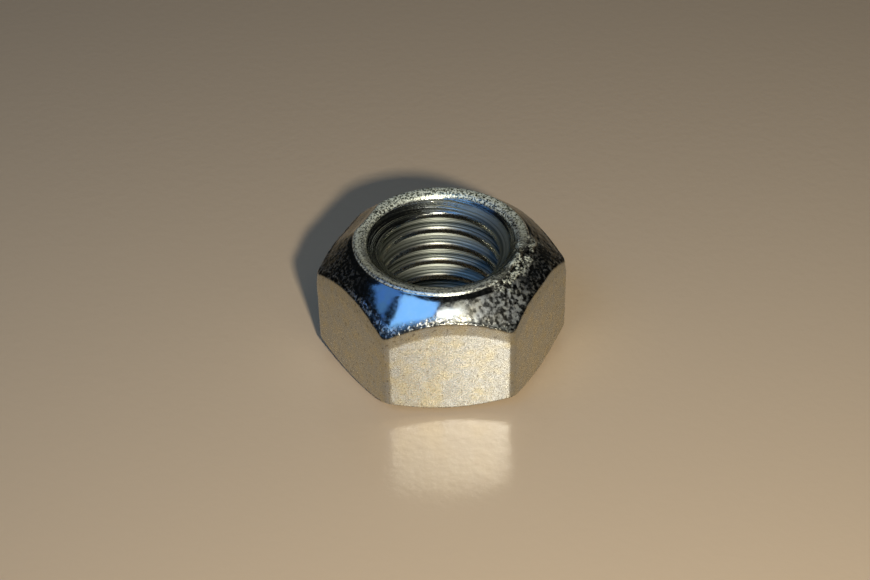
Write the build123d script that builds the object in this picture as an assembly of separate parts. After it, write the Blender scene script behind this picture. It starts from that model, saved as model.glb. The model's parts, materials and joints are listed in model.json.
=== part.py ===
"""All-metal lock nut: an M12 hexagon nut with a conical crown that is crimped at two opposite points.

One piece of cold-formed steel, in millimetres, with +Z up. The bearing face lies on z = 0 and the
thread axis is the Z axis. One flat faces -Y, the front.
"""
import os
from math import cos, radians, sin, tan

from build123d import *

# Hexagon body
across_flats = 19.0
nut_height = 11.6
upright_edge_radius = 0.85
bearing_diameter = 16.6
base_chamfer_angle = 30.0

# Conical crown, its angle taken from the thread axis, and the narrow bevel where it meets the flats
rim_diameter = 14.76
crown_half_angle = 46.9
bevel_up_crown = 0.22
bevel_down_flat = 0.65

# Rolled bead round the bore's mouth: outside it runs into a shallow hollow above the crown's cone, and
# inside it slopes down to the countersink
rim_width = 0.58
rim_edge_radius = 0.35
bead_reach = 0.16
bead_height = 0.2
bead_foot_radius = 0.3
hollow_reach = 0.34
hollow_drop = 0.23
lip_depth = 0.5

# Bore at the thread's minor diameter, with a countersink at each end: the upper one opens to a share of the
# wall between the bore and the lip
thread_minor_diameter = 10.2
countersink_diameter = 12.7
countersink_angle = 120.0
mouth_share = 0.7353

# Crimp: a round-nosed tool presses the crown over two opposite flats and squeezes the bore oval
crimp_direction = -30.0
crimp_depth = 0.38
crimp_half_angle = 48.5
crimp_nose_radius = 40.0
bore_squeeze = 0.2
squeezed_height = 3.5

# How far a cutting shape runs past the metal it cuts
overrun = 1.0

hexagon_sides = 6
crimp_count = 2
flat_radius = across_flats / 2
bearing_radius = bearing_diameter / 2
rim_radius = rim_diameter / 2
minor_radius = thread_minor_diameter / 2
countersink_radius = countersink_diameter / 2
lip_radius = rim_radius - rim_width
mouth_radius = minor_radius + mouth_share * (lip_radius - minor_radius)
mouth_height = nut_height - lip_depth
crown_top_radius = rim_radius + bead_reach + hollow_reach
crown_angle = radians(crown_half_angle)
countersink_slope = tan(radians(countersink_angle / 2))


def hexagon_bar():
    """The hexagon at full height, with its upright edges rounded by the forming die."""
    outline = RegularPolygon(flat_radius, hexagon_sides, major_radius=False)
    outline = fillet(outline.vertices(), upright_edge_radius)
    return extrude(outline, nut_height)


def turned_form():
    """The round form that bounds the hexagon: base chamfer below, crown cone and rolled bead above."""
    reach = flat_radius / cos(radians(180 / hexagon_sides)) + overrun
    chamfer_rise = (reach - bearing_radius) * tan(radians(base_chamfer_angle))
    rim_corner = (rim_radius, nut_height)
    lip_corner = (lip_radius, nut_height)
    bead_foot = (rim_radius + bead_reach, nut_height - bead_height)
    crown_top = nut_height - bead_height - hollow_drop
    crown_drop = (reach - crown_top_radius) / tan(crown_angle)
    half_section = make_face(
        Polyline(
            (0, 0),
            (bearing_radius, 0),
            (reach, chamfer_rise),
            (reach, crown_top - crown_drop),
            (crown_top_radius, crown_top),
            bead_foot,
            rim_corner,
            lip_corner,
            (mouth_radius, mouth_height),
            (0, mouth_height),
            close=True,
        )
    )
    edge_radius = min(rim_edge_radius, rim_width)
    rounds = {rim_corner: edge_radius, lip_corner: edge_radius, bead_foot: bead_foot_radius}
    for corner, radius in rounds.items():
        vertex = half_section.vertices().sort_by_distance(corner)[0]
        half_section = fillet(vertex, radius)
    return revolve(Plane.XZ * half_section, Axis.Z)


def nut_blank():
    """Hexagon and turned form in one, with a narrow bevel where the crown meets the flats."""
    blank = hexagon_bar() & turned_form()
    cones = blank.faces().filter_by(GeomType.CONE).sort_by(Axis.Z)
    crown = [cone for cone in cones if cone.edges().filter_by(GeomType.HYPERBOLA)][-1]
    shoulder = crown.edges().filter_by(GeomType.CIRCLE, reverse=True)
    crown_width = (flat_radius - crown_top_radius) / sin(crown_angle)
    bevel_reach = min(bevel_up_crown, crown_width / 2)
    return chamfer(shoulder, bevel_reach, bevel_down_flat, reference=crown)


def bore_cutter():
    """The bore: round through the body, easing into an oval below the crimped rim, countersunk twice."""
    sink_depth = (countersink_radius - minor_radius) / countersink_slope
    round_top = nut_height - squeezed_height
    overrun_radius = countersink_radius + overrun * countersink_slope
    round_bore = make_face(
        Polyline(
            (0, -overrun),
            (overrun_radius, -overrun),
            (minor_radius, sink_depth),
            (minor_radius, round_top),
            (0, round_top),
            close=True,
        )
    )
    oval_bore = loft(
        [
            Plane.XY.offset(round_top) * Circle(minor_radius),
            Plane.XY.offset(nut_height) * Ellipse(minor_radius - bore_squeeze, minor_radius),
        ]
    )
    upper_sink = make_face(
        Polyline(
            (0, mouth_height - mouth_radius / countersink_slope),
            (mouth_radius, mouth_height),
            (0, mouth_height),
            close=True,
        )
    )
    turned = [revolve(Plane.XZ * section, Axis.Z) for section in (round_bore, upper_sink)]
    return [*turned, Rot(Z=crimp_direction) * oval_bore]


def crimp_tool(direction):
    """The nose of the crimping tool: a round bar that bites deepest at the rim and follows the crown down."""
    lie_angle = radians(crimp_half_angle)
    slope_length = (flat_radius - rim_radius) / sin(lie_angle)
    bite_radius = rim_radius - crimp_depth
    lie = Plane(
        origin=(
            bite_radius + crimp_nose_radius * cos(lie_angle),
            0,
            nut_height + crimp_nose_radius * sin(lie_angle),
        ),
        z_dir=(-sin(lie_angle), 0, cos(lie_angle)),
    )
    nose = lie * Cylinder(crimp_nose_radius, 2 * (slope_length + overrun))
    return Rot(Z=direction) * nose


def lock_nut():
    """The finished nut: blank, bore and the two crimps."""
    nut = nut_blank()
    for tool in bore_cutter():
        nut -= tool
    for crimp in range(crimp_count):
        nut -= crimp_tool(crimp_direction + crimp * 360 / crimp_count)
    return nut


os.makedirs("parts", exist_ok=True)
export_step(lock_nut(), "parts/lock_nut.step")
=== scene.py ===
"""All-metal lock nut, M12, zinc plated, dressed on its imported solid.

The frame is in metres with +Z up. The nut stands on its bearing face at z = 0, with its thread on the Z
axis and one flat facing -Y, the front. The nut's sizes and its node tree are in millimetres.
"""
import json
from math import cos, pi, radians, sin, sqrt, tan

import bpy
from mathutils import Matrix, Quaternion, Vector


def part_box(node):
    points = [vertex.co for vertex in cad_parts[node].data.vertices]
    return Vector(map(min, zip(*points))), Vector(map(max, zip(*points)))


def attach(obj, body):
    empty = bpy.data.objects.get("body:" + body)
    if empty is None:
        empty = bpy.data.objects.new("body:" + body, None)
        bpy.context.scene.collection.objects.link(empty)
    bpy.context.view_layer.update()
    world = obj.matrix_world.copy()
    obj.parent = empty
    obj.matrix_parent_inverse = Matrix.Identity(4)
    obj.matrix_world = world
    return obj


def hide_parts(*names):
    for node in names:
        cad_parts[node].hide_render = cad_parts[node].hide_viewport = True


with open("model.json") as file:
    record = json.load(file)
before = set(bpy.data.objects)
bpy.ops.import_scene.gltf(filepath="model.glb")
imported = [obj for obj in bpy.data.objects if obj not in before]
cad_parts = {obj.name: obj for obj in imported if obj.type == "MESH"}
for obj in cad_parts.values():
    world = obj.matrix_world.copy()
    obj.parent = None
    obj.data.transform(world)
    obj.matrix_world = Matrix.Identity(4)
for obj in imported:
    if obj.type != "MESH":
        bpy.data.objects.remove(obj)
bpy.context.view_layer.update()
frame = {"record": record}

# Lock nut
# One piece of steel: a slug is cold-formed to a hexagon with a conical crown, tapped M12 x 1.75 right-hand
# from end to end, pressed at two opposite flats of the crown so that it grips its bolt, and zinc plated in a
# barrel against rust. It stands loose on its bearing face.
mm = 0.001
low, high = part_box("lock_nut")
thread_mount = next(mount for mount in frame["record"]["mounts"] if mount["name"] == "thread")
hexagon_sides = 6
base_chamfer_angle = radians(30)
crown_half_angle = radians(46.9)
crimp_half_angle = radians(48.5)
countersink_half_angle = radians(60)
thread_pitch = 1.75
nut_sizes = {
    "Height": (high.z - low.z) / mm,
    "Across Flats": (high.y - low.y) / mm,
    "Upright Edge Radius": 0.85,
    "Bearing Radius": 8.3,
    "Base Chamfer Slope": tan(base_chamfer_angle),
    "Edge Round": 0.08,
    "Crown Slope": 1 / tan(crown_half_angle),
    "Crown Swell": 0.05,
    "Shoulder Blend": 0.3,
    "Bevel Up Crown": 0.22,
    "Bevel Down Flat": 0.95,
    "Bevel Round": 0.12,
    "Hollow Reach": 0.5,
    "Hollow Depth": 0.43,
    "Hollow Round": 0.16,
    "Bead Reach": 0.16,
    "Bead Height": 0.2,
    "Bead Round": 0.07,
    "Rim Radius": 7.38,
    "Rim Round": 0.26,
    "Rim Blend": 0.15,
    "Lip Radius": 6.8,
    "Lip Depth": 0.5,
    "Lip Round": 0.3,
    "Neck Radius": 6.5,
    "Neck Height": 0.26,
    "Countersink Radius": 6.35,
    "Countersink Slope": tan(countersink_half_angle),
    "Countersink Blend": 0.06,
    "Bore Radius": thread_mount["dims"]["r_mm"],
    "Thread Depth": 0.9,
    "Thread Pitch": thread_pitch,
    "Thread Start": -2.43,
    "Crimp Direction": radians(-30),
    "Crimp Depth": 0.38,
    "Crimp Slope": 1 / tan(crimp_half_angle),
    "Crimp Nose Radius": 26.5,
    "Bore Squeeze": 0.2,
    "Squeezed Height": 3.5,
    "Pit Width": 0.45,
    "Pit Depth": 0.05,
    "Chew Width": 0.8,
    "Chew Depth": 0.09,
    "Wave Length": 2.6,
    "Wave Depth": 0.012,
}

MATH = "ShaderNodeMath"
VECTOR = "ShaderNodeVectorMath"
RANGE = "ShaderNodeMapRange"
MIX = "ShaderNodeMix"
NOISE = "ShaderNodeTexNoise"


def add(tree, kind, inputs=(), **settings):
    """Adds a node with its settings and links. Inputs, in order or by name, are nodes, sockets or values."""
    node = tree.nodes.new(kind)
    for name, setting in settings.items():
        setattr(node, name, setting)
    if isinstance(inputs, dict):
        pairs = [(node.inputs[name], value) for name, value in inputs.items()]
    else:
        pairs = list(zip([socket for socket in node.inputs if socket.enabled], inputs))
    for socket, value in pairs:
        if isinstance(value, bpy.types.Node):
            value = next(output for output in value.outputs if output.enabled)
        if isinstance(value, bpy.types.NodeSocket):
            tree.links.new(value, socket)
        elif value is not None:
            socket.default_value = value
    return node


def colour(code):
    """The linear colour, with alpha, of an sRGB hex code."""
    shares = [int(code[place:place + 2], 16) / 255 for place in (1, 3, 5)]
    return [s / 12.92 if s <= 0.04045 else ((s + 0.055) / 1.055) ** 2.4 for s in shares] + [1.0]


# Bright zinc plating, put on in a barrel and passivated: to the eye a thin metallic coat, faintly straw and
# blue by turns, dull with a fine grain on the flats, mirror smooth on the crown, and pitted and sandy where
# the steel was upset and pressed
plating = bpy.data.materials.new("bright_zinc_plating")
plating.use_nodes = True
tree = plating.node_tree
tree.nodes.clear()
place = add(tree, "ShaderNodeTexCoord").outputs["Object"]

# Shares from 0 to 1 that the shape stores for each strip of its surface. The edge share places painted shade
# along the crown's lower edge
stored_shares = ("crown", "rim", "sink", "thread", "pitting", "satin", "chewed", "edge")
share = {name: add(tree, "ShaderNodeAttribute", attribute_name=name).outputs["Fac"] for name in stored_shares}
flats = add(tree, MATH, (1.0, share["crown"]), operation="SUBTRACT")
unchewed = add(tree, MATH, (1.0, share["chewed"]), operation="SUBTRACT")
turned = add(tree, MATH, (share["sink"], share["thread"]), operation="ADD")

# Patterns of the plating, by the width of their marks in mm. The zinc's own crystals are a few thousandths
# of a millimetre wide, too fine to show, so the grain is drawn coarser
patterns = {
    "bloom": dict(width=1.1, detail=1.0),
    "blotches": dict(width=0.8, detail=3.0),
    "flecks": dict(width=0.36, detail=4.0),
    "specks": dict(width=0.28, detail=2.0),
    "grain": dict(width=0.16, detail=2.0),
}
noise = {}
for name, pattern in patterns.items():
    scale = 1 / (pattern["width"] * mm)
    noise[name] = add(tree, NOISE, {"Vector": place, "Scale": scale, "Detail": pattern["detail"]})

# Lines that the bar's die drew up the flats, coarser here than the real ones so that they show
drawn_width = 0.12 * mm
drawn_length = 3.0 * mm
drawn_scale = (1 / drawn_width, 1 / drawn_width, 1 / drawn_length)
drawn_place = add(tree, VECTOR, (place, drawn_scale), operation="MULTIPLY")
drawn = add(tree, NOISE, {"Vector": drawn_place, "Scale": 1.0, "Detail": 2.0})

# Lines that the tap leaves along the thread, the same in every turn, drawn coarser than the real ones so
# that they show
streak_width = 0.13 * mm
streaks_per_turn = thread_pitch * mm / streak_width
axes = add(tree, "ShaderNodeSeparateXYZ", (place,)).outputs
angle = add(tree, MATH, (axes["Y"], axes["X"]), operation="ARCTAN2")
turns = add(tree, MATH, (angle, 1 / (2 * pi)), operation="MULTIPLY")
phase = add(tree, MATH, (axes["Z"], 1 / (thread_pitch * mm)), operation="MULTIPLY")
phase = add(tree, MATH, (phase, turns), operation="SUBTRACT")
phase = add(tree, MATH, (phase, 1.0), operation="PINGPONG")
tap_place = add(tree, MATH, (phase, streaks_per_turn), operation="MULTIPLY")
streaks = add(tree, NOISE, {"W": tap_place, "Scale": 1.0, "Detail": 3.0}, noise_dimensions="1D")

# Zinc, with a straw bloom and steel-blue blotches. A span holds the two values of a pattern between which a
# mark comes in or goes
zinc = colour("#BDBEB6")
straw = colour("#C9C2A6")
steel_blue = colour("#B4BBC0")
straw_span = (0.38, 0.7)
most_straw = 0.8
blue_span = (0.48, 0.74)
most_blue = 0.45
straw_share = add(tree, RANGE, (noise["bloom"], *straw_span, 0.0, most_straw))
tint = add(tree, MIX, (straw_share, zinc, straw), data_type="RGBA")
blue_share = add(tree, RANGE, (noise["blotches"], *blue_span, 0.0, most_blue))
tint = add(tree, MIX, (blue_share, tint, steel_blue), data_type="RGBA")

# Dark specks on the flats
speck = colour("#6B6455")
speck_span = (0.6, 0.72)
most_speck = 0.6
speck_fade = (noise["specks"], *speck_span, 0.0, most_speck)
speck_share = add(tree, RANGE, speck_fade, interpolation_type="SMOOTHSTEP")
speck_share = add(tree, MATH, (speck_share, flats), operation="MULTIPLY")
tint = add(tree, MIX, (speck_share, tint, speck), data_type="RGBA")

# The tapped thread, dark and pale by lines, which the countersinks show half as strongly
dark_tapped = colour("#555A4F")
pale_tapped = colour("#A8AC9E")
streak_span = (0.38, 0.58)
sink_streaks = 0.5
streak_share = add(tree, RANGE, (streaks, *streak_span, 0.0, 1.0))
tapped = add(tree, MIX, (streak_share, dark_tapped, pale_tapped), data_type="RGBA")
tapped_share = add(tree, MATH, (share["sink"], sink_streaks, share["thread"]), operation="MULTIPLY_ADD")
tint = add(tree, MIX, (tapped_share, tint, tapped), data_type="RGBA")

# Pits in the crown, with painted shade darkening their low points. The same dark colour flecks the satin
# patch and paints shade along the crown's lower edge
dark_flecks_and_painted_shade = colour("#2B2E2C")
pit_span = (0.46, 0.64)
pit_shade_span = (0.35, 0.9)
most_pit_shade = 0.95
pits = add(tree, RANGE, (noise["specks"], *pit_span, 0.0, 1.0), interpolation_type="SMOOTHSTEP")
pit_height = add(tree, MATH, (pits, share["pitting"]), operation="MULTIPLY")
pit_painted_shade_share = add(tree, RANGE, (pits, *pit_shade_span, most_pit_shade, 0.0))
pit_painted_shade_share = add(tree, MATH, (pit_painted_shade_share, share["pitting"]), operation="MULTIPLY")
pit_painted_shade_share = add(tree, MATH, (pit_painted_shade_share, share["crown"]), operation="MULTIPLY")
tint = add(tree, MIX, (pit_painted_shade_share, tint, dark_flecks_and_painted_shade), data_type="RGBA")

# A satin patch on the crown, frosted and flecked dark, and a trace of frost between the crown's pits
frost = colour("#A3A89F")
frost_span = (0.42, 0.62)
most_frost = 0.6
most_pit_frost = 0.2
fleck_span = (0.38, 0.54)
most_fleck = 0.7
frost_fade = (noise["flecks"], *frost_span, 0.0, most_frost)
frost_share = add(tree, RANGE, frost_fade, interpolation_type="SMOOTHSTEP")
frost_share = add(tree, MATH, (frost_share, share["satin"]), operation="MULTIPLY")
pit_frost = add(tree, MATH, (pit_height, share["crown"]), operation="MULTIPLY")
pit_frost = add(tree, MATH, (pit_frost, unchewed), operation="MULTIPLY")
pit_frost = add(tree, MATH, (pit_frost, most_pit_frost), operation="MULTIPLY")
frost_share = add(tree, MATH, (frost_share, pit_frost), operation="MAXIMUM")
tint = add(tree, MIX, (frost_share, tint, frost), data_type="RGBA")
fleck_fade = (noise["flecks"], *fleck_span, most_fleck, 0.0)
fleck_share = add(tree, RANGE, fleck_fade, interpolation_type="SMOOTHSTEP")
fleck_share = add(tree, MATH, (fleck_share, share["satin"]), operation="MULTIPLY")
tint = add(tree, MIX, (fleck_share, tint, dark_flecks_and_painted_shade), data_type="RGBA")

# Sandy metal on the rim, and in blotches where the crimping tool chewed it. On the rim the pale grains also
# paint a highlight, strongest at the back. Its pale grains and the frost are chalky, less of a metal to the
# eye
dark_sand = colour("#6E7360")
pale_sand = colour("#E8ECD4")
blotch_span = (0.47, 0.6)
sand_span = (0.37, 0.58)
chalk_metal = 0.3
blotched = add(tree, RANGE, (noise["blotches"], *blotch_span, 0.0, 1.0), interpolation_type="SMOOTHSTEP")
blotched = add(tree, MATH, (blotched, share["chewed"]), operation="MULTIPLY")
sandy = add(tree, MATH, (share["rim"], unchewed), operation="MULTIPLY")
sandy = add(tree, MATH, (sandy, blotched), operation="ADD")
sand_share = add(tree, RANGE, (noise["grain"], *sand_span, 0.0, 1.0), interpolation_type="SMOOTHSTEP")
sand = add(tree, MIX, (sand_share, dark_sand, pale_sand), data_type="RGBA")
tint = add(tree, MIX, (sandy, tint, sand), data_type="RGBA")
chalk_share = add(tree, MATH, (sandy, sand_share), operation="MULTIPLY")
chalk_share = add(tree, MATH, (chalk_share, frost_share), operation="MAXIMUM")
bare_metal = add(tree, RANGE, (chalk_share, 0.0, 1.0, 1.0, chalk_metal))

# Painted shade, a dark line along the crown's lower edge and down the bevel below it
edge_span = (0.35, 0.62)
edge_painted_shade = (1.0, 0.6)
edge_share = add(tree, RANGE, (noise["specks"], *edge_span, *edge_painted_shade))
edge_share = add(tree, MATH, (edge_share, share["edge"]), operation="MULTIPLY")
tint = add(tree, MIX, (edge_share, tint, dark_flecks_and_painted_shade), data_type="RGBA")

# Each surface's roughness wavers with a pattern: the pattern, its span, and the smoothest and roughest value
wide_span = (0.3, 0.7)
narrow_span = (0.35, 0.65)
frost_roughness = 0.5
surfaces = {
    "flats": (noise["grain"], *wide_span, 0.24, 0.31),
    "crown": (noise["specks"], *narrow_span, 0.08, 0.14),
    "satin": (noise["blotches"], *narrow_span, 0.24, 0.42),
    "pits": (noise["grain"], *wide_span, 0.26, 0.46),
    "sand": (noise["grain"], *wide_span, 0.26, 0.4),
    "sink": (streaks, *wide_span, 0.14, 0.26),
    "thread": (streaks, *wide_span, 0.38, 0.52),
}
rough = {name: add(tree, RANGE, wavering) for name, wavering in surfaces.items()}
crown_roughness = add(tree, MIX, (share["satin"], rough["crown"], rough["satin"]))
crown_roughness = add(tree, MIX, (share["pitting"], crown_roughness, rough["pits"]))
roughness = add(tree, MIX, (share["crown"], rough["flats"], crown_roughness))
roughness = add(tree, MIX, (frost_share, roughness, frost_roughness))
roughness = add(tree, MIX, (sandy, roughness, rough["sand"]))
roughness = add(tree, MIX, (share["sink"], roughness, rough["sink"]))
roughness = add(tree, MIX, (share["thread"], roughness, rough["thread"]))

# Relief that is finer than the mesh, one on the other, by its depth in mm
reliefs = {
    "pits": dict(depth=0.014, height=pit_height),
    "sand": dict(depth=0.05, height=add(tree, MATH, (noise["grain"], sandy), operation="MULTIPLY")),
    "streaks": dict(depth=0.08, height=add(tree, MATH, (streaks, turned), operation="MULTIPLY")),
    "drawn lines": dict(depth=0.003, height=add(tree, MATH, (drawn, flats), operation="MULTIPLY")),
}
normal = None
for relief in reliefs.values():
    bump = {"Distance": relief["depth"] * mm, "Height": relief["height"], "Normal": normal}
    normal = add(tree, "ShaderNodeBump", bump)
coat = {"Base Color": tint, "Metallic": bare_metal, "Roughness": roughness, "Normal": normal}
shader = add(tree, "ShaderNodeBsdfPrincipled", coat)
add(tree, "ShaderNodeOutputMaterial", (shader,))

# The nut's shape, a tree with the sizes as its inputs
tree = bpy.data.node_groups.new("lock_nut_form", "GeometryNodeTree")
identifiers = {}
for name in nut_sizes:
    socket = tree.interface.new_socket(name, in_out="INPUT", socket_type="NodeSocketFloat")
    identifiers[name] = socket.identifier
tree.interface.new_socket("Geometry", in_out="OUTPUT", socket_type="NodeSocketGeometry")
size = add(tree, "NodeGroupInput").outputs

# Every band of the surface starts as a unit grid: one side runs round the nut, the other along its section
columns = 420
half_grid = 0.5
grid_place = add(tree, "ShaderNodeSeparateXYZ", (add(tree, "GeometryNodeInputPosition"),)).outputs
round_share = add(tree, MATH, (grid_place["X"], half_grid), operation="ADD")
rise_share = add(tree, MATH, (grid_place["Y"], half_grid), operation="ADD")

# The hexagon with rounded upright edges, and each column's direction and bearing from the thread axis
edge_points = 12
corner_reach = add(tree, MATH, (size["Across Flats"], 1 / sqrt(3)), operation="MULTIPLY")
hexagon = add(tree, "GeometryNodeCurvePrimitiveCircle", (hexagon_sides, corner_reach))
rounding = (hexagon, edge_points, size["Upright Edge Radius"])
hexagon = add(tree, "GeometryNodeFilletCurve", rounding, mode="POLY")
outline = add(tree, "GeometryNodeSampleCurve", (hexagon, None, round_share)).outputs["Position"]
outward = add(tree, VECTOR, (outline,), operation="NORMALIZE")
reach = add(tree, VECTOR, (outline,), operation="LENGTH").outputs["Value"]
outline_axes = add(tree, "ShaderNodeSeparateXYZ", (outline,)).outputs
bearing = add(tree, MATH, (outline_axes["Y"], outline_axes["X"]), operation="ARCTAN2")
turn = add(tree, MATH, (round_share, 2 * pi), operation="MULTIPLY")
turn_high = add(tree, MATH, (turn, pi), operation="ADD")
turn_low = add(tree, MATH, (turn, pi), operation="SUBTRACT")
bearing = add(tree, MATH, (bearing, turn_high, turn_low), operation="WRAP")

# How squarely each direction faces the crimp at the right, and how squarely it faces either crimp: 1 at the
# middle of the tool's mark
crimp_east = add(tree, MATH, (size["Crimp Direction"],), operation="COSINE")
crimp_north = add(tree, MATH, (size["Crimp Direction"],), operation="SINE")
crimp_axis = add(tree, "ShaderNodeCombineXYZ", (crimp_east, crimp_north))
facing_right = add(tree, VECTOR, (outward, crimp_axis), operation="DOT_PRODUCT").outputs["Value"]
facing = add(tree, MATH, (facing_right,), operation="ABSOLUTE")
facing_squared = add(tree, MATH, (facing, facing), operation="MULTIPLY")
aside_squared = add(tree, MATH, (1.0, facing_squared), operation="SUBTRACT")

# How squarely it faces the smooth part of the crown, the satin patch and the front of the rim, where the rim
# has the least pale sand and so the least painted highlight
smooth_side = (-0.34, -0.94, 0.0)
satin_side = (0.5, -0.866, 0.0)
rim_painted_shade_side = (0.1, -0.995, 0.0)
facing_smooth = add(tree, VECTOR, (outward, smooth_side), operation="DOT_PRODUCT").outputs["Value"]
facing_satin = add(tree, VECTOR, (outward, satin_side), operation="DOT_PRODUCT").outputs["Value"]
facing_rim_painted_shade_side = add(tree, VECTOR, (outward, rim_painted_shade_side), operation="DOT_PRODUCT").outputs["Value"]

# Marks of the making, with painted shade and highlight among them: the measure that each follows, where its
# change begins and ends, and its share there. The metal is chewed at the right crimp, pitted along the
# crown's lower edge and all over the crown except in front, and sandy on the rim, least at the front, so that
# the pale sand paints a highlight on the rim's back; the crown's lower edge gets a line of painted shade
marks = {
    "crimped": (facing, 0.77, 0.95, 0.0, 1.0),
    "chewed": (facing_right, 0.8, 0.97, 0.0, 1.0),
    "chewed below rim": (rise_share, 0.0, 0.5, 1.0, 0.4),
    "chewed near rim": (rise_share, 0.0, 0.45, 1.0, 0.0),
    "pits at lower edge": (rise_share, 0.58, 0.95, 0.03, 0.9),
    "pits round the back": (facing_smooth, 0.86, 0.66, 0.0, 0.4),
    "painted shade at lower edge": (rise_share, 0.85, 1.0, 0.0, 0.8),
    "satin": (facing_satin, 0.89, 0.985, 0.0, 1.0),
    "sandy rim and painted highlight": (facing_rim_painted_shade_side, -0.95, 0.5, 1.0, 0.3),
}
mark = {name: add(tree, RANGE, change, interpolation_type="SMOOTHSTEP") for name, change in marks.items()}
uncrimped = add(tree, MATH, (1.0, mark["crimped"]), operation="SUBTRACT")

# The rim, cut where the tool bit. The tool's round nose stands back from its own line by aside squared over
# twice its radius. Directions that run along the nose count as facing it a little, so that nothing is
# divided by zero
least_facing = 0.2
nose_width = add(tree, MATH, (size["Crimp Nose Radius"], 2.0), operation="MULTIPLY")
nose_bow = add(tree, MATH, (aside_squared, nose_width), operation="DIVIDE")
bite_radius = add(tree, MATH, (size["Rim Radius"], size["Crimp Depth"]), operation="SUBTRACT")
rim_square = add(tree, MATH, (size["Rim Radius"], size["Rim Radius"]), operation="MULTIPLY")
rim_cut = add(tree, MATH, (rim_square, nose_bow, bite_radius), operation="MULTIPLY_ADD")
facing_enough = add(tree, MATH, (facing, least_facing), operation="MAXIMUM")
rim_cut = add(tree, MATH, (rim_cut, facing_enough), operation="DIVIDE")
rim_reach = add(tree, MATH, (size["Rim Radius"], rim_cut, size["Rim Blend"]), operation="SMOOTH_MIN")

# Heights at which the crown and the crimp meet the hexagon, and the base chamfer below
crown_run = add(tree, MATH, (reach, size["Rim Radius"]), operation="SUBTRACT")
crown_run = add(tree, MATH, (crown_run, size["Hollow Reach"]), operation="SUBTRACT")
crown_fall = add(tree, MATH, (crown_run, size["Crown Slope"], size["Hollow Depth"]), operation="MULTIPLY_ADD")
crown_foot = add(tree, MATH, (size["Height"], crown_fall), operation="SUBTRACT")
reach_square = add(tree, MATH, (reach, reach), operation="MULTIPLY")
crimp_edge = add(tree, MATH, (reach_square, nose_bow, bite_radius), operation="MULTIPLY_ADD")
crimp_run = add(tree, MATH, (reach, facing), operation="MULTIPLY")
crimp_run = add(tree, MATH, (crimp_run, crimp_edge), operation="SUBTRACT")
crimp_fall = add(tree, MATH, (crimp_run, size["Crimp Slope"]), operation="MULTIPLY")
crimp_foot = add(tree, MATH, (size["Height"], crimp_fall), operation="SUBTRACT")
shoulder_height = add(tree, MATH, (crown_foot, crimp_foot, size["Shoulder Blend"]), operation="SMOOTH_MIN")
base_run = add(tree, MATH, (reach, size["Bearing Radius"]), operation="SUBTRACT")
base_height = add(tree, MATH, (base_run, size["Base Chamfer Slope"]), operation="MULTIPLY")


def ring(radius, height):
    """A ring of the section: each direction's point at this radius, or on the hexagon, lifted to a height."""
    flat = outline if radius is None else add(tree, VECTOR, (outward, radius), operation="SCALE")
    lift = add(tree, "ShaderNodeCombineXYZ", (0.0, 0.0, height))
    return add(tree, VECTOR, (flat, lift), operation="ADD")


def beside(corner, neighbour, distance):
    """The point that lies a distance from a corner of the section on the way to its neighbour."""
    way = add(tree, VECTOR, (neighbour, corner), operation="SUBTRACT")
    step = add(tree, VECTOR, (way,), operation="NORMALIZE")
    return add(tree, VECTOR, (step, distance, corner), operation="MULTIPLY_ADD")


def band(points, rows, **finish):
    """A strip of the surface along 2 points of the section, or along 3 as a round. Each share of a finish
    is a field, or a pair of values for the strip's first and last row."""
    grid = add(tree, "GeometryNodeMeshGrid", (1.0, 1.0, columns + 1, rows + 1))
    if len(points) == 2:
        along = add(tree, RANGE, (rise_share,), interpolation_type="SMOOTHSTEP")
        section = add(tree, MIX, (along, *points), data_type="VECTOR")
    else:
        first, middle, last = points
        down = add(tree, MIX, (rise_share, first, middle), data_type="VECTOR")
        onward = add(tree, MIX, (rise_share, middle, last), data_type="VECTOR")
        section = add(tree, MIX, (rise_share, down, onward), data_type="VECTOR")
    for name, value in finish.items():
        if isinstance(value, tuple):
            value = add(tree, RANGE, (rise_share, 0.0, 1.0, *value))
        grid = add(tree, "GeometryNodeStoreNamedAttribute", (grid, None, name, value))
    return add(tree, "GeometryNodeSetPosition", (grid, None, section))


# Corners of the section, from the countersink over the lip and the rim to the flats and the base
sink_height = add(tree, MATH, (size["Height"], size["Lip Depth"]), operation="SUBTRACT")
lip_foot = ring(size["Countersink Radius"], sink_height)
neck_height = add(tree, MATH, (sink_height, size["Neck Height"]), operation="ADD")
neck_top = ring(size["Neck Radius"], neck_height)
lip_edge = ring(size["Lip Radius"], size["Height"])
rim_edge = ring(rim_reach, size["Height"])
shoulder = ring(None, shoulder_height)
base_edge = ring(None, base_height)
bearing_edge = ring(size["Bearing Radius"], 0.0)
bearing_inside = ring(size["Countersink Radius"], 0.0)

# The bead round the rim and the hollow at its foot, both pressed flat under the crimping tool
bead_flat = add(tree, MATH, (size["Bead Reach"], size["Crimp Slope"]), operation="MULTIPLY")
bead_drop = add(tree, MIX, (mark["crimped"], size["Bead Height"], bead_flat))
bead_height = add(tree, MATH, (size["Height"], bead_drop), operation="SUBTRACT")
bead_reach = add(tree, MATH, (rim_reach, size["Bead Reach"]), operation="ADD")
bead_foot = ring(bead_reach, bead_height)
hollow_flat = add(tree, MATH, (size["Hollow Reach"], size["Crimp Slope"]), operation="MULTIPLY")
hollow_drop = add(tree, MIX, (mark["crimped"], size["Hollow Depth"], hollow_flat))
hollow_height = add(tree, MATH, (size["Height"], hollow_drop), operation="SUBTRACT")
hollow_reach = add(tree, MATH, (rim_reach, size["Hollow Reach"]), operation="ADD")
hollow_end = ring(hollow_reach, hollow_height)

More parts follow.
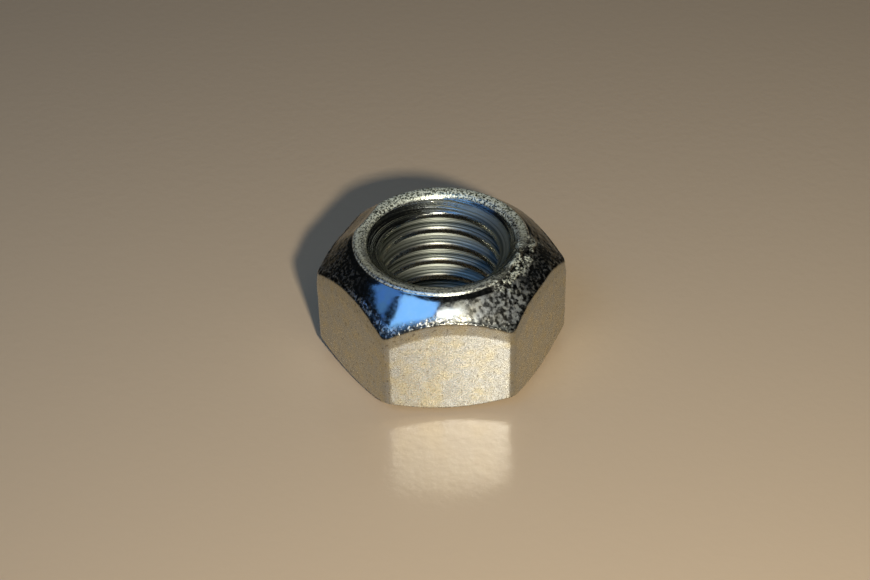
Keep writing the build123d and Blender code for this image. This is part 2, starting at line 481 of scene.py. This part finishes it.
# The crown's cone, swelled a little halfway down, but not where it is crimped
halfway = 0.5
crown_middle = add(tree, MIX, (halfway, hollow_end, shoulder), data_type="VECTOR")
swell_reach = add(tree, MATH, (size["Crown Swell"], uncrimped), operation="MULTIPLY")
swell = add(tree, VECTOR, (outward, (0.0, 0.0, 1.0)), operation="ADD")
swell = add(tree, VECTOR, (swell, swell_reach), operation="SCALE")
crown_middle = add(tree, VECTOR, (crown_middle, swell), operation="ADD")

# Where the rounding of each corner starts and ends. On the narrow rim it takes at most a share of the width
rim_round_share = 0.45
rim_width = add(tree, MATH, (rim_reach, size["Lip Radius"]), operation="SUBTRACT")
rim_round = add(tree, MATH, (rim_width, rim_round_share), operation="MULTIPLY")
rim_round = add(tree, MATH, (rim_round, size["Rim Round"]), operation="MINIMUM")
neck_top_in = beside(neck_top, lip_foot, size["Edge Round"])
neck_top_out = beside(neck_top, lip_edge, size["Edge Round"])
lip_edge_in = beside(lip_edge, neck_top, size["Lip Round"])
lip_edge_out = beside(lip_edge, rim_edge, rim_round)
rim_edge_in = beside(rim_edge, lip_edge, rim_round)
rim_edge_out = beside(rim_edge, bead_foot, size["Bead Round"])
bead_foot_in = beside(bead_foot, rim_edge, size["Edge Round"])
bead_foot_out = beside(bead_foot, hollow_end, size["Edge Round"])
crown_start = beside(hollow_end, crown_middle, size["Hollow Round"])
bevel_top = beside(shoulder, crown_middle, size["Bevel Up Crown"])
bevel_foot = beside(shoulder, base_edge, size["Bevel Down Flat"])
bevel_top_in = beside(bevel_top, crown_middle, size["Bevel Round"])
bevel_top_out = beside(bevel_top, bevel_foot, size["Bevel Round"])
bevel_foot_in = beside(bevel_foot, bevel_top, size["Bevel Round"])
bevel_foot_out = beside(bevel_foot, base_edge, size["Bevel Round"])
base_edge_in = beside(base_edge, shoulder, size["Edge Round"])
base_edge_out = beside(base_edge, bearing_edge, size["Edge Round"])
bearing_edge_in = beside(bearing_edge, base_edge, size["Edge Round"])
bearing_edge_out = beside(bearing_edge, bearing_inside, size["Edge Round"])

# The finish of each strip, with the rim's painted highlight and the crown's painted shade among its shares,
# then the strips themselves in the order of the corners
least_rim_pits = 0.2
least_hollow_pits = 0.04
flat_pits = 0.05
rim_pits = add(tree, MATH, (mark["chewed"], least_rim_pits), operation="MAXIMUM")
hollow_pits = add(tree, MATH, (mark["chewed"], least_hollow_pits), operation="MAXIMUM")
crown_pits = add(tree, MATH, (mark["chewed"], mark["chewed below rim"]), operation="MULTIPLY")
crown_pits = add(tree, MATH, (crown_pits, mark["pits at lower edge"]), operation="MAXIMUM")
crown_pits = add(tree, MATH, (crown_pits, mark["pits round the back"]), operation="MAXIMUM")
crown_chewed = add(tree, MATH, (mark["chewed"], mark["chewed near rim"]), operation="MULTIPLY")
neck_finish = dict(sink=(1.0, 0.0), rim=(0.0, 1.0), pitting=rim_pits, chewed=mark["chewed"])
rim_finish = dict(rim=mark["sandy rim and painted highlight"], pitting=rim_pits, chewed=mark["chewed"])
bead_finish = dict(rim=(1.0, 0.0), crown=(0.0, 1.0), pitting=hollow_pits, chewed=mark["chewed"])
hollow_finish = dict(crown=(1.0, 1.0), pitting=hollow_pits, chewed=mark["chewed"])
crown_finish = dict(
    crown=(1.0, 1.0),
    pitting=crown_pits,
    chewed=crown_chewed,
    satin=mark["satin"],
    edge=mark["painted shade at lower edge"],
)
# The bevel carries the painted shade of the crown's lower edge, fading down it
bevel_finish = dict(crown=(1.0, 0.2), pitting=(0.9, 0.3), edge=(0.8, 0.3))
flat_finish = dict(pitting=(flat_pits, flat_pits))
bands = [
    band((lip_foot, neck_top_in), rows=3, **neck_finish),
    band((neck_top_in, neck_top, neck_top_out), rows=3, **rim_finish),
    band((neck_top_out, lip_edge_in), rows=1, **rim_finish),
    band((lip_edge_in, lip_edge, lip_edge_out), rows=6, **rim_finish),
    band((lip_edge_out, rim_edge_in), rows=1, **rim_finish),
    band((rim_edge_in, rim_edge, rim_edge_out), rows=6, **rim_finish),
    band((rim_edge_out, bead_foot_in), rows=1, **rim_finish),
    band((bead_foot_in, bead_foot, bead_foot_out), rows=4, **bead_finish),
    band((bead_foot_out, hollow_end, crown_start), rows=6, **hollow_finish),
    band((crown_start, crown_middle, bevel_top_in), rows=24, **crown_finish),
    band((bevel_top_in, bevel_top, bevel_top_out), rows=5, **bevel_finish),
    band((bevel_top_out, bevel_foot_in), rows=4, **flat_finish),
    band((bevel_foot_in, bevel_foot, bevel_foot_out), rows=4, **flat_finish),
    band((bevel_foot_out, base_edge_in), rows=20, **flat_finish),
    band((base_edge_in, base_edge, base_edge_out), rows=4, **flat_finish),
    band((base_edge_out, bearing_edge_in), rows=6, **flat_finish),
    band((bearing_edge_in, bearing_edge, bearing_edge_out), rows=4, **flat_finish),
    band((bearing_edge_out, bearing_inside), rows=8, **flat_finish),
]

# The thread: a grid whose rows climb with the helix, so that every turn meets the next. The crest is a
# quarter of the pitch wide and the root an eighth
thread_turns = 8
rows_per_turn = 16
half_turn = 0.5
half_crest_share = 1 / 8
half_root_share = 1 / 16
crest_round_share = 0.04
root_round_share = 0.08
turn_place = add(tree, MATH, (rise_share, thread_turns), operation="MULTIPLY")
helix_place = add(tree, MATH, (bearing, 1 / (2 * pi), turn_place), operation="MULTIPLY_ADD")
height = add(tree, MATH, (helix_place, size["Thread Pitch"], size["Thread Start"]), operation="MULTIPLY_ADD")
height = add(tree, "ShaderNodeClamp", (height, 0.0, sink_height))
from_crest = add(tree, MATH, (turn_place, half_turn), operation="PINGPONG")
flank = (from_crest, half_crest_share, half_turn - half_root_share, 0.0, 1.0)
groove = add(tree, RANGE, flank, clamp=False)
groove = add(tree, MATH, (groove, 0.0, crest_round_share), operation="SMOOTH_MAX")
groove = add(tree, MATH, (groove, 1.0, root_round_share), operation="SMOOTH_MIN")
wall = add(tree, MATH, (groove, size["Thread Depth"], size["Bore Radius"]), operation="MULTIPLY_ADD")

# The crimps squeeze the top of the bore oval
below_top = add(tree, MATH, (size["Height"], height), operation="SUBTRACT")
squeeze = add(tree, RANGE, (below_top, size["Squeezed Height"], 0.0, 0.0, size["Bore Squeeze"]))
squeeze = add(tree, MATH, (squeeze, facing_squared), operation="MULTIPLY")
wall = add(tree, MATH, (wall, squeeze), operation="SUBTRACT")

# A countersink at each end runs into the thread
below_lip = add(tree, MATH, (sink_height, height), operation="SUBTRACT")
from_end = add(tree, MATH, (height, below_lip), operation="MINIMUM")
sink_run = add(tree, MATH, (from_end, size["Countersink Slope"]), operation="MULTIPLY")
sink_reach = add(tree, MATH, (size["Countersink Radius"], sink_run), operation="SUBTRACT")
bore_reach = add(tree, MATH, (wall, sink_reach, size["Countersink Blend"]), operation="SMOOTH_MAX")
bore_reach = add(tree, MATH, (bore_reach, size["Countersink Radius"]), operation="MINIMUM")

# The finish of the bore: the tap's lines lie on the flanks and roots, and the crests stay bright
sink_fade = 0.1
crest_span = (0.02, 0.12)
most_sink_pits = 0.15
sunk = add(tree, MATH, (sink_reach, wall), operation="SUBTRACT")
sunk = add(tree, RANGE, (sunk, -sink_fade, sink_fade, 0.0, 1.0), interpolation_type="SMOOTHSTEP")
threaded = add(tree, MATH, (1.0, sunk), operation="SUBTRACT")
off_crest = add(tree, RANGE, (groove, *crest_span, 0.0, 1.0))
tapped_flank = add(tree, MATH, (off_crest, threaded), operation="MULTIPLY")
sink_pits = add(tree, MATH, (sunk, most_sink_pits), operation="MULTIPLY")
bore = add(tree, "GeometryNodeMeshGrid", (1.0, 1.0, columns + 1, thread_turns * rows_per_turn + 1))
for name, value in {"sink": sunk, "thread": tapped_flank, "pitting": sink_pits}.items():
    bore = add(tree, "GeometryNodeStoreNamedAttribute", (bore, None, name, value))
bore = add(tree, "GeometryNodeSetPosition", (bore, None, ring(bore_reach, height)))

# All strips in one skin, turned to face outwards
weld_distance = 0.001
joined = add(tree, "GeometryNodeJoinGeometry")
for strip in [*bands, bore]:
    tree.links.new(strip.outputs[0], joined.inputs[0])
skin = add(tree, "GeometryNodeMergeByDistance", (joined, None, weld_distance))
skin = add(tree, "GeometryNodeFlipFaces", (skin,))

# Pits, the chewed metal at the crimp and a faint wave of the formed faces, all sunk into the skin: full depth
# at the low end of a pattern's span, and none at its high end
full_depth = -1.0
pit_relief_span = (0.3, 0.6)
chew_relief_span = (0.35, 0.6)
wave_relief_span = (0.25, 0.75)
surface_place = add(tree, "GeometryNodeInputPosition")
surface_normal = add(tree, "GeometryNodeInputNormal")
pitting = add(tree, "GeometryNodeInputNamedAttribute", ("pitting",), data_type="FLOAT")
chewed = add(tree, "GeometryNodeInputNamedAttribute", ("chewed",), data_type="FLOAT")
pit_scale = add(tree, MATH, (1.0, size["Pit Width"]), operation="DIVIDE")
pit_noise = add(tree, NOISE, {"Vector": surface_place, "Scale": pit_scale, "Detail": 2.0})
pit_fade = (pit_noise, *pit_relief_span, full_depth, 0.0)
sunken = add(tree, RANGE, pit_fade, interpolation_type="SMOOTHSTEP")
sunken = add(tree, MATH, (sunken, pitting), operation="MULTIPLY")
sunken = add(tree, MATH, (sunken, size["Pit Depth"]), operation="MULTIPLY")
chew_scale = add(tree, MATH, (1.0, size["Chew Width"]), operation="DIVIDE")
chew_noise = add(tree, NOISE, {"Vector": surface_place, "Scale": chew_scale, "Detail": 3.0})
chew_fade = (chew_noise, *chew_relief_span, full_depth, 0.0)
chew = add(tree, RANGE, chew_fade, interpolation_type="SMOOTHSTEP")
chew = add(tree, MATH, (chew, chewed), operation="MULTIPLY")
sunken = add(tree, MATH, (chew, size["Chew Depth"], sunken), operation="MULTIPLY_ADD")
wave_scale = add(tree, MATH, (1.0, size["Wave Length"]), operation="DIVIDE")
wave_noise = add(tree, NOISE, {"Vector": surface_place, "Scale": wave_scale, "Detail": 1.0})
wave = add(tree, RANGE, (wave_noise, *wave_relief_span, full_depth, 0.0))
sunken = add(tree, MATH, (wave, size["Wave Depth"], sunken), operation="MULTIPLY_ADD")
offset = add(tree, VECTOR, (surface_normal, sunken), operation="SCALE")
skin = add(tree, "GeometryNodeSetPosition", (skin, None, None, offset))
skin = add(tree, "GeometryNodeTransform", {"Geometry": skin, "Scale": (mm, mm, mm)})
skin = add(tree, "GeometryNodeSetShadeSmooth", (skin,))
skin = add(tree, "GeometryNodeRealizeInstances", (skin,))
skin = add(tree, "GeometryNodeSetMaterial", (skin, None, plating))
add(tree, "NodeGroupOutput", (skin,))

# The finished nut as a plain mesh
former = bpy.data.objects.new("nut_former", bpy.data.meshes.new("nut_former"))
bpy.context.scene.collection.objects.link(former)
modifier = former.modifiers.new("nut_form", "NODES")
modifier.node_group = tree
for name, value in nut_sizes.items():
    modifier[identifiers[name]] = value
depsgraph = bpy.context.evaluated_depsgraph_get()
nut_mesh = bpy.data.meshes.new_from_object(
    former.evaluated_get(depsgraph), preserve_all_data_layers=True, depsgraph=depsgraph
)
bpy.data.objects.remove(former)
nut_mesh.name = "zinc_plated_nut"
nut = bpy.data.objects.new("zinc_plated_nut", nut_mesh)
bpy.context.scene.collection.objects.link(nut)
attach(nut, "root")
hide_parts("lock_nut")

# Floor
# A plain pale sheet under the nut, painted in a warm satin with a roller. The roller's fine orange peel just
# breaks the lamps' reflections.
floor_half_width = 3.0
floor_corners = ((-1, -1), (1, -1), (1, 1), (-1, 1))
warm_beige = colour("#CBB493")
paint_roughness = 0.26
peel_size = 0.9 * mm
peel_depth = 0.02 * mm
floor_mesh = bpy.data.meshes.new("floor")
corners = [(x * floor_half_width, y * floor_half_width, 0.0) for x, y in floor_corners]
floor_mesh.from_pydata(corners, [], [range(len(corners))])
floor = bpy.data.objects.new("floor", floor_mesh)
bpy.context.scene.collection.objects.link(floor)
paint = bpy.data.materials.new("satin_paint")
paint.use_nodes = True
tree = paint.node_tree
tree.nodes.clear()
place = add(tree, "ShaderNodeTexCoord").outputs["Object"]
peel = add(tree, NOISE, {"Vector": place, "Scale": 1 / peel_size, "Detail": 2.0})
peel = add(tree, "ShaderNodeBump", {"Distance": peel_depth, "Height": peel})
coat = {"Base Color": warm_beige, "Roughness": paint_roughness, "Normal": peel}
shader = add(tree, "ShaderNodeBsdfPrincipled", coat)
add(tree, "ShaderNodeOutputMaterial", (shader,))
floor_mesh.materials.append(paint)

# Light
# Softboxes round the nut: a small warm key in front with a wide one above it, two cool ones at the left, and
# weak ones overhead and behind. Angles are in degrees, round from the front and up from the floor, and sizes
# are in metres.
lamps = {
    "key_lamp": dict(
        azimuth=8, elevation=36, distance=0.17, width=0.009, height=0.009, watts=0.235, tone="#FFF8EE"
    ),
    "front_lamp": dict(
        azimuth=8, elevation=53, distance=0.4, width=0.15, height=0.06, watts=0.09, tone="#F6FAFF"
    ),
    "left_lamp": dict(
        azimuth=-38, elevation=52, distance=0.4, width=0.2, height=0.18, watts=0.27, tone="#74B0FF"
    ),
    "far_left_lamp": dict(
        azimuth=-82, elevation=50, distance=0.4, width=0.14, height=0.14, watts=0.05, tone="#5C9CFF"
    ),
    "top_lamp": dict(
        azimuth=180, elevation=82, distance=0.4, width=0.14, height=0.1, watts=0.04, tone="#F6F8EC"
    ),
    "back_lamp": dict(
        azimuth=178, elevation=42, distance=0.4, width=0.34, height=0.12, watts=0.045, tone="#F4F6EA"
    ),
}
for name, lamp in lamps.items():
    light = bpy.data.lights.new(name, "AREA")
    light.shape = "RECTANGLE"
    light.size = lamp["width"]
    light.size_y = lamp["height"]
    light.energy = lamp["watts"]
    light.color = colour(lamp["tone"])[:3]
    azimuth = radians(lamp["azimuth"])
    elevation = radians(lamp["elevation"])
    direction = Vector((sin(azimuth) * cos(elevation), -cos(azimuth) * cos(elevation), sin(elevation)))
    stand = bpy.data.objects.new(name, light)
    stand.location = direction * lamp["distance"]
    stand.rotation_euler = direction.to_track_quat("Z", "Y").to_euler()
    bpy.context.scene.collection.objects.link(stand)

dim_grey = colour("#0E1012")
world = bpy.data.worlds.new("room")
bpy.context.scene.world = world
world.use_nodes = True
tree = world.node_tree
tree.nodes.clear()
room = add(tree, "ShaderNodeBackground", {"Color": dim_grey, "Strength": 1.0})
add(tree, "ShaderNodeOutputWorld", (room,))
bpy.context.scene.view_settings.view_transform = "Standard"

# Camera
# It stands in front and a little to the left, some 160 mm away, and looks down on the nut at about
# 39 degrees, with a slight roll.
camera_place = Vector((-6.2567, -122.6123, 105.6572)) * mm
camera_aim = Vector((-0.6086, 0.0, 5.9118)) * mm
camera_roll = radians(-1.349)
camera_data = bpy.data.cameras.new("camera")
camera_data.lens = 75.076
camera_data.sensor_width = 36.0
camera_data.clip_start = 0.01
camera = bpy.data.objects.new("camera", camera_data)
camera.location = camera_place
level = (camera_aim - camera_place).to_track_quat("-Z", "Y")
camera.rotation_euler = (level @ Quaternion((0.0, 0.0, 1.0), camera_roll)).to_euler()
bpy.context.scene.collection.objects.link(camera)
bpy.context.scene.camera = camera
